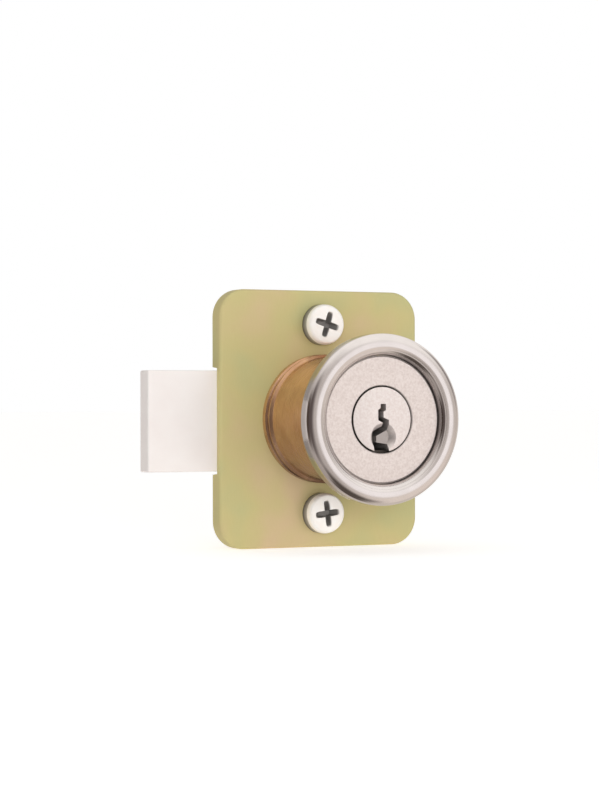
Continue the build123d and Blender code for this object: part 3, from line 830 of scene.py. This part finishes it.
def make_plug():
    """A solid turned from its front pole to the floor of the cam screw's hole, then cut by the
    keyway, its cone and the five tumbler holes. Painted shade darkens the keyway with depth,
    and a painted shade line runs round the front's edge."""
    rim = (PLUG_FLANGE_RADIUS - PLUG_EDGE, FACE + PLUG_EDGE)
    groove_front, groove_back = CLIP_GROOVE
    profile = [(0.0, FACE), *arc(rim, PLUG_EDGE, -90, 0, steps=5)]
    profile += [
        (PLUG_FLANGE_RADIUS, PLUG_FLANGE_BACK), (PLUG_RADIUS, PLUG_FLANGE_BACK),
        (PLUG_RADIUS, groove_front), (CLIP_GROOVE_RADIUS, groove_front),
        (CLIP_GROOVE_RADIUS, groove_back), (PLUG_RADIUS, groove_back),
        (PLUG_RADIUS, PLUG_BACK), (SPINDLE_RADIUS, PLUG_BACK),
        (SPINDLE_RADIUS, SQUARE_FRONT - SQUARE_STEP), (SPINDLE_RADIUS, SQUARE_FRONT),
        (SPINDLE_RADIUS, PLUG_END), (CAM_SCREW_HOLE, PLUG_END),
        (CAM_SCREW_HOLE, CAM_SCREW_END), (0.0, CAM_SCREW_END),
    ]
    plug = turned("plug_turned", profile, sides=BARREL_SIDES, shape=squared_spindle)
    x, z = rounded_path([(x, z, KEYWAY_ROUND) for x, z in KEYWAY], steps=4, straight=1)[0].T
    ends = (FACE - CUTTER_SPARE, KEYWAY_BACK)
    keyway = loft("keyway_cutter", [np.column_stack([x, np.full(len(x), y), z]) for y in ends])
    front, floor = FACE - CONE_SPARE, FACE + CONE_DEPTH
    cone = [
        (0.0, front), (CONE_RADIUS + CONE_SPARE, front),
        (CONE_RADIUS - CONE_DEPTH, floor), (0.0, floor),
    ]
    funnel = turned("cone_cutter", cone, centre=CONE_PLACE, sides=CONE_SIDES)
    top = PLUG_RADIUS + PLUG_HOLE_SPARE
    holes = [upright_hole(y, PLUG_HOLE_FLOOR, top) for y in CHAMBERS]
    plug = cut(plug, [keyway, funnel, *holes])
    x, y, z = places(plug)
    # Painted shade: the keyway darker with depth, and a dark line round the front's edge
    depth = np.clip((y - FACE - KEYWAY_UNSHADED) / (KEYWAY_DARK - KEYWAY_UNSHADED), 0, 1)
    edge = (np.hypot(x, z) > PLUG_FLANGE_RADIUS - PLUG_EDGE_REACH) & (y > FACE + PLUG_EDGE_FRONT)
    shade(plug, np.where(edge, 1.0, depth))
    return plug


dress(make_plug(), FINISHES["turned_nickel"], "satin_nickel", "plug", "plug")

# Case screws: pan heads with a cross recess, threads that show behind the case
SCREW_HEAD = 3.5
SCREW_HEAD_HEIGHT = 2.9
SCREW_RIM = 1.6
SCREW_CROWN_REACH = 3.0
SCREW_CROWN = 0.12
SCREW_RIM_EDGE = 0.08
SCREW_BODY = 1.48
SCREW_THREAD = 1.75
SCREW_CORE = 1.36
SCREW_PITCH = 0.794
SCREW_POINT = 0.4
SCREW_RELIEF = 0.02
SCREW_CROWN_STEPS = 13
SCREW_SHOULDER_STEPS = 10
SCREW_STUD_STEPS = 112
SCREW_SIDES = 72
SCREW_CRISP_OVER = 30.0
THREAD_STEEPNESS = 1.6
THREAD_ROOT = 0.15
SCREW_SIDE_PAINTED_SHADE = 1.0
SCREW_SIDE_FADE = 0.3
SCREW_SIDE_AHEAD = 0.6
CASE_BACK = float(node_box("case_box")[1][1])
SCREW_END = float(node_box("screw_upper")[1][1])
RECESS_REACH = 2.35
RECESS_HALF_WIDTH = 0.57
RECESS_DEPTH = 1.7
RECESS_LEVELS = (-0.3, 0.0, 0.25, 0.5, 0.75, 1.0)
RECESS_NARROWS = 0.3
RECESS_SHORTENS = 0.52
RECESS_SHARPNESS = 6
RECESS_SIDES = 96
RECESS_PAINTED_SHADE = 0.85
RECESS_LIP = 0.03
RECESS_TIP = 0.1
SCREW_TURNS = {"screw_upper": -17.0, "screw_lower": 7.0}


def thread(radius, depth, angle):
    """Behind the case the radius swings between core and crest with depth / pitch - angle / a
    turn, as a triangle wave with flattened tops."""
    phase = (depth / SCREW_PITCH - angle / (2 * np.pi)) % 1.0
    wave = np.clip(THREAD_STEEPNESS * (1 - np.abs(2 * phase - 1)) - THREAD_ROOT, 0, 1)
    flank = SCREW_CORE + (SCREW_THREAD - SCREW_CORE) * wave
    return np.where(depth > CASE_BACK + TINY, np.minimum(radius, flank), radius)


def recess_cutter(place, turn):
    """The cross recess: its half width w and its reach shrink with depth, and in polar form the
    outline is w / the smaller of |sin a| and |cos a|, held to the reach by a soft minimum: both
    to the power -n, added up, to the power -1 / n."""
    angle = np.linspace(0, 2 * np.pi, RECESS_SIDES, endpoint=False)
    narrowest, order = 1e-3, RECESS_SHARPNESS
    along = angle + math.radians(turn)
    rows = []
    for share in RECESS_LEVELS:
        wide = RECESS_HALF_WIDTH * (1 - RECESS_NARROWS * share)
        reach = RECESS_REACH * (1 - RECESS_SHORTENS * share)
        nearer = np.minimum(np.abs(np.sin(angle)), np.abs(np.cos(angle)))
        wing = wide / np.maximum(nearer, narrowest)
        radius = (wing ** -order + reach ** -order) ** (-1 / order)
        depth = np.full(RECESS_SIDES, RECESS_DEPTH * share - SCREW_HEAD_HEIGHT)
        across, up = radius * np.cos(along), place + radius * np.sin(along)
        rows.append(np.column_stack([across, depth, up]))
    return loft("recess_cutter", rows)


def make_screw(name, turn):
    """A solid turned from the head's top to the stud's end. The crown falls as the square of the
    radius, and a quarter ellipse rounds it off to the rim. Painted shade darkens the recess in
    its depth and the head's side."""
    place = middle(name, 2)
    share = np.linspace(0, 1, SCREW_CROWN_STEPS)[:-1]
    crown = -SCREW_HEAD_HEIGHT + SCREW_CROWN * share ** 2
    profile = pairs(SCREW_CROWN_REACH * share, crown)
    round_off = np.radians(np.linspace(0, 90, SCREW_SHOULDER_STEPS))
    across = SCREW_CROWN_REACH + (SCREW_HEAD - SCREW_CROWN_REACH) * np.sin(round_off)
    along = -SCREW_RIM - (SCREW_HEAD_HEIGHT - SCREW_CROWN - SCREW_RIM) * np.cos(round_off)
    profile += pairs(across, along)
    profile += [
        (SCREW_HEAD, -SCREW_RIM_EDGE), (SCREW_HEAD - SCREW_RIM_EDGE, 0.0),
        (SCREW_BODY, 0.0), (SCREW_BODY, CASE_BACK - SCREW_RELIEF),
    ]
    stud = np.linspace(CASE_BACK, SCREW_END - SCREW_POINT, SCREW_STUD_STEPS)
    profile += [(SCREW_THREAD, y) for y in stud]
    profile += [(SCREW_THREAD - SCREW_POINT, SCREW_END), (0.0, SCREW_END)]
    screw = turned(
        name + "_cold_headed", profile, centre=(0.0, place), sides=SCREW_SIDES, shape=thread
    )
    screw = cut(screw, [recess_cutter(place, turn)], SCREW_CRISP_OVER)
    x, y, z = places(screw)
    below_crown = y > SCREW_CROWN + RECESS_LIP - SCREW_HEAD_HEIGHT
    within = np.hypot(x, z - place) < RECESS_REACH - RECESS_TIP
    head = y < 0
    # Painted shade: the recess darker in its depth, and the head's side darker
    side = SCREW_SIDE_PAINTED_SHADE * np.clip((y + SCREW_RIM) / SCREW_SIDE_FADE + SCREW_SIDE_AHEAD, 0, 1)
    shade(screw, np.where(head & below_crown & within, RECESS_PAINTED_SHADE, side * head))
    return screw


for screw_name, screw_turn in SCREW_TURNS.items():
    screw = make_screw(screw_name, screw_turn)
    dress(screw, FINISHES["bright_zinc"], "bright_zinc", "lock_case", screw_name)

# Tumbler springs: wound wire, each stretched between the barrel and its driver pin
SPRING_WIRE = 0.28
SPRING_TURNS = 4
SPRING_CLOSED_PITCH = 0.29
SPRING_STEPS = 36
SPRING_SIDES = 14
SPRING_CRISP_OVER = 60.0


def make_spring(name):
    """A round wire along x = r cos a, y = r sin a. Its first and last turns rise by little more
    than the wire's thickness, the ones between share what is left of the height. Gives also the
    middles of its top and its foot."""
    low, high = node_box(name)
    centre, radius = (low + high) / 2, (high[0] - low[0] - SPRING_WIRE) / 2
    foot, top = low[2] + SPRING_WIRE / 2, high[2] - SPRING_WIRE / 2
    turn = np.linspace(0, SPRING_TURNS, SPRING_TURNS * SPRING_STEPS + 1)
    heights = [foot, foot + SPRING_CLOSED_PITCH, top - SPRING_CLOSED_PITCH, top]
    rise = np.interp(turn, [0, 1, SPRING_TURNS - 1, SPRING_TURNS], heights)
    cos, sin = np.cos(2 * np.pi * turn), np.sin(2 * np.pi * turn)
    line = np.column_stack([centre[0] + radius * cos, centre[1] + radius * sin, rise])
    away = np.column_stack([cos, sin, np.zeros(len(turn))])
    along = np.gradient(line, axis=0)
    along /= np.linalg.norm(along, axis=1)[:, None]
    across = np.cross(along, away)
    around = np.linspace(0, 2 * np.pi, SPRING_SIDES, endpoint=False)[None, :, None]
    section = np.cos(around) * away[:, None] + np.sin(around) * across[:, None]
    wire = line[:, None] + SPRING_WIRE / 2 * section
    spring = loft(name + "_wound", wire, SPRING_CRISP_OVER)
    return spring, (0.0, centre[1], top), (0.0, centre[1], foot)


for number in range(1, 6):
    spring_name = f"pin_spring_{number}"
    spring, spring_top, spring_foot = make_spring(spring_name)
    spring.data.materials.append(FINISHES["spring_steel"])
    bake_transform(spring)
    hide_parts(spring_name)

# Stage: a plain pale floor under the plate's lower edge, and soft light from all round
FLOOR_DROP = 0.02
FLOOR_HALF = 6000.0
FLOOR_COLOUR = "#f4f3f1"
FLOOR_ROUGHNESS = 0.9
FLOOR_GLOW = 0.56


def make_floor():
    """A wide pale floor, left out of the polished parts' reflections, as if the lock stood high."""
    level, far = float(PLATE_LOW[2]) - FLOOR_DROP, FLOOR_HALF
    corners = [(-far, -far, level), (far, -far, level), (far, far, level), (-far, far, level)]
    floor = mesh_piece("floor", corners, [[0, 1, 2, 3]])
    material = bpy.data.materials.new("pale_paper")
    material.use_nodes = True
    shader = material.node_tree.nodes["Principled BSDF"]
    shader.inputs["Base Color"].default_value = linear(FLOOR_COLOUR)
    shader.inputs["Roughness"].default_value = FLOOR_ROUGHNESS
    shader.inputs["Emission Color"].default_value = linear("#ffffff")
    shader.inputs["Emission Strength"].default_value = FLOOR_GLOW
    floor.data.materials.append(material)
    floor.visible_glossy = False


make_floor()

# Light tent: its tone from below to overhead, and the soft patches on it. Each has the compass
# angle of its middle from straight in front of the lock towards its right, its height angle, the
# angles from its middle at which it stops being full and is gone, and its colour
TENT_FILL = 0.46
TENT_LOW = "#a89e97"
TENT_HIGH = "#d2cbc6"
TENT_PATCHES = [
    (95, -45, 30, 80, "#cfc5bb"),
    (135, 5, 25, 60, "#e0dad4"),
    (60, 70, 25, 70, "#fdf9f4"),
    (36, 34, 14, 30, "#fffbf6"),
    (44, -26, 10, 28, "#e6dad0"),
    (74, 18, 4, 20, "#8f8885"),
    (-34, 0, 12, 40, "#5c524f"),
    (-80, 0, 14, 38, "#4a3f3b"),
    (-118, 0, 12, 34, "#55483f"),
    (6, -42, 10, 26, "#544c46"),
    (-11, -70, 10, 26, "#544c46"),
    (29, 0, 7, 15, "#fffaf8"),
]


def make_world():
    """A light tent that only gloss mirrors. The camera sees plain white in its place, and matt
    surfaces are lit by an even fill. A patch is mixed in by a smooth step of the cosine of the
    angle between the view and its middle."""
    world = bpy.data.worlds.new("studio")
    bpy.context.scene.world = world
    world.use_nodes = True
    tree = world.node_tree
    tree.nodes.clear()
    way = add(tree, "ShaderNodeTexCoord").outputs["Generated"]
    height = add(tree, "ShaderNodeSeparateXYZ", {"Vector": way}).outputs["Z"]
    rise = add(tree, "ShaderNodeMapRange", {"Value": height, "From Min": -1.0}).outputs["Result"]
    mixed = {MIX_SHARE: rise, MIX_FROM: linear(TENT_LOW), MIX_TO: linear(TENT_HIGH)}
    colour = add(tree, "ShaderNodeMix", mixed, data_type="RGBA").outputs[MIX_RESULT]
    for turn, lift, full, gone, tone in TENT_PATCHES:
        turn, lift, full, gone = (math.radians(v) for v in (turn, lift, full, gone))
        level = math.cos(lift)
        spot = (math.sin(turn) * level, -math.cos(turn) * level, math.sin(lift))
        product = add(tree, "ShaderNodeVectorMath", {0: way, 1: spot}, operation="DOT_PRODUCT")
        near = product.outputs["Value"]
        levels = {"Value": near, "From Min": math.cos(gone), "From Max": math.cos(full)}
        step = add(tree, "ShaderNodeMapRange", levels, interpolation_type="SMOOTHSTEP")
        mixed = {MIX_SHARE: step.outputs["Result"], MIX_FROM: colour, MIX_TO: linear(tone)}
        colour = add(tree, "ShaderNodeMix", mixed, data_type="RGBA").outputs[MIX_RESULT]
    tent = add(tree, "ShaderNodeBackground", {"Color": colour, "Strength": 1.0}).outputs[0]
    path = add(tree, "ShaderNodeLightPath")
    levels = {"Value": path.outputs["Is Camera Ray"], "To Min": TENT_FILL}
    seen = add(tree, "ShaderNodeMapRange", levels).outputs[0]
    white = {"Color": linear("#ffffff"), "Strength": seen}
    plain = add(tree, "ShaderNodeBackground", white).outputs[0]
    mixed = {0: path.outputs["Is Glossy Ray"], 1: plain, 2: tent}
    both = add(tree, "ShaderNodeMixShader", mixed).outputs[0]
    add(tree, "ShaderNodeOutputWorld", {"Surface": both})


make_world()

# Soft box near the camera's own side, in millimetres and watts
KEY_PLACE = (-180, -465, 0)
KEY_TARGET = (0, -10, 0)
KEY_SIZE = 220
KEY_POWER = 2.05


def make_light():
    """A square soft box that faces its target."""
    light = bpy.data.lights.new("key_box", "AREA")
    light.size = KEY_SIZE * MM
    light.energy = KEY_POWER
    lamp = bpy.data.objects.new("key_box", light)
    lamp.location = Vector(KEY_PLACE) * MM
    facing = Vector(KEY_TARGET) - Vector(KEY_PLACE)
    lamp.rotation_euler = facing.to_track_quat("-Z", "Y").to_euler()
    lamp.visible_glossy = False
    bpy.context.scene.collection.objects.link(lamp)


make_light()


def make_camera():
    """The camera at the photograph's angle: turned and raised round the lock, then rolled."""
    turn, rise, roll = (math.radians(v) for v in (CAMERA_TURN, CAMERA_RISE, CAMERA_ROLL))
    level = math.cos(rise)
    back = Vector((math.sin(turn) * level, -math.cos(turn) * level, math.sin(rise)))
    right = Vector((math.cos(turn), math.sin(turn), 0.0))
    up = back.cross(right)
    target = AIM_RIGHT * right + AIM_UP * up
    tilted_right = math.cos(roll) * right + math.sin(roll) * up
    tilted_up = math.cos(roll) * up - math.sin(roll) * right
    lens = bpy.data.cameras.new("camera")
    lens.lens = CAMERA_LENS
    lens.sensor_width = CAMERA_SENSOR
    camera = bpy.data.objects.new("camera", lens)
    axes = Matrix((tilted_right, tilted_up, back)).transposed().to_4x4()
    camera.matrix_world = Matrix.Translation((target + back * CAMERA_AWAY) * MM) @ axes
    bpy.context.scene.collection.objects.link(camera)
    bpy.context.scene.camera = camera


make_camera()
bpy.context.scene.view_settings.view_transform = "Standard"
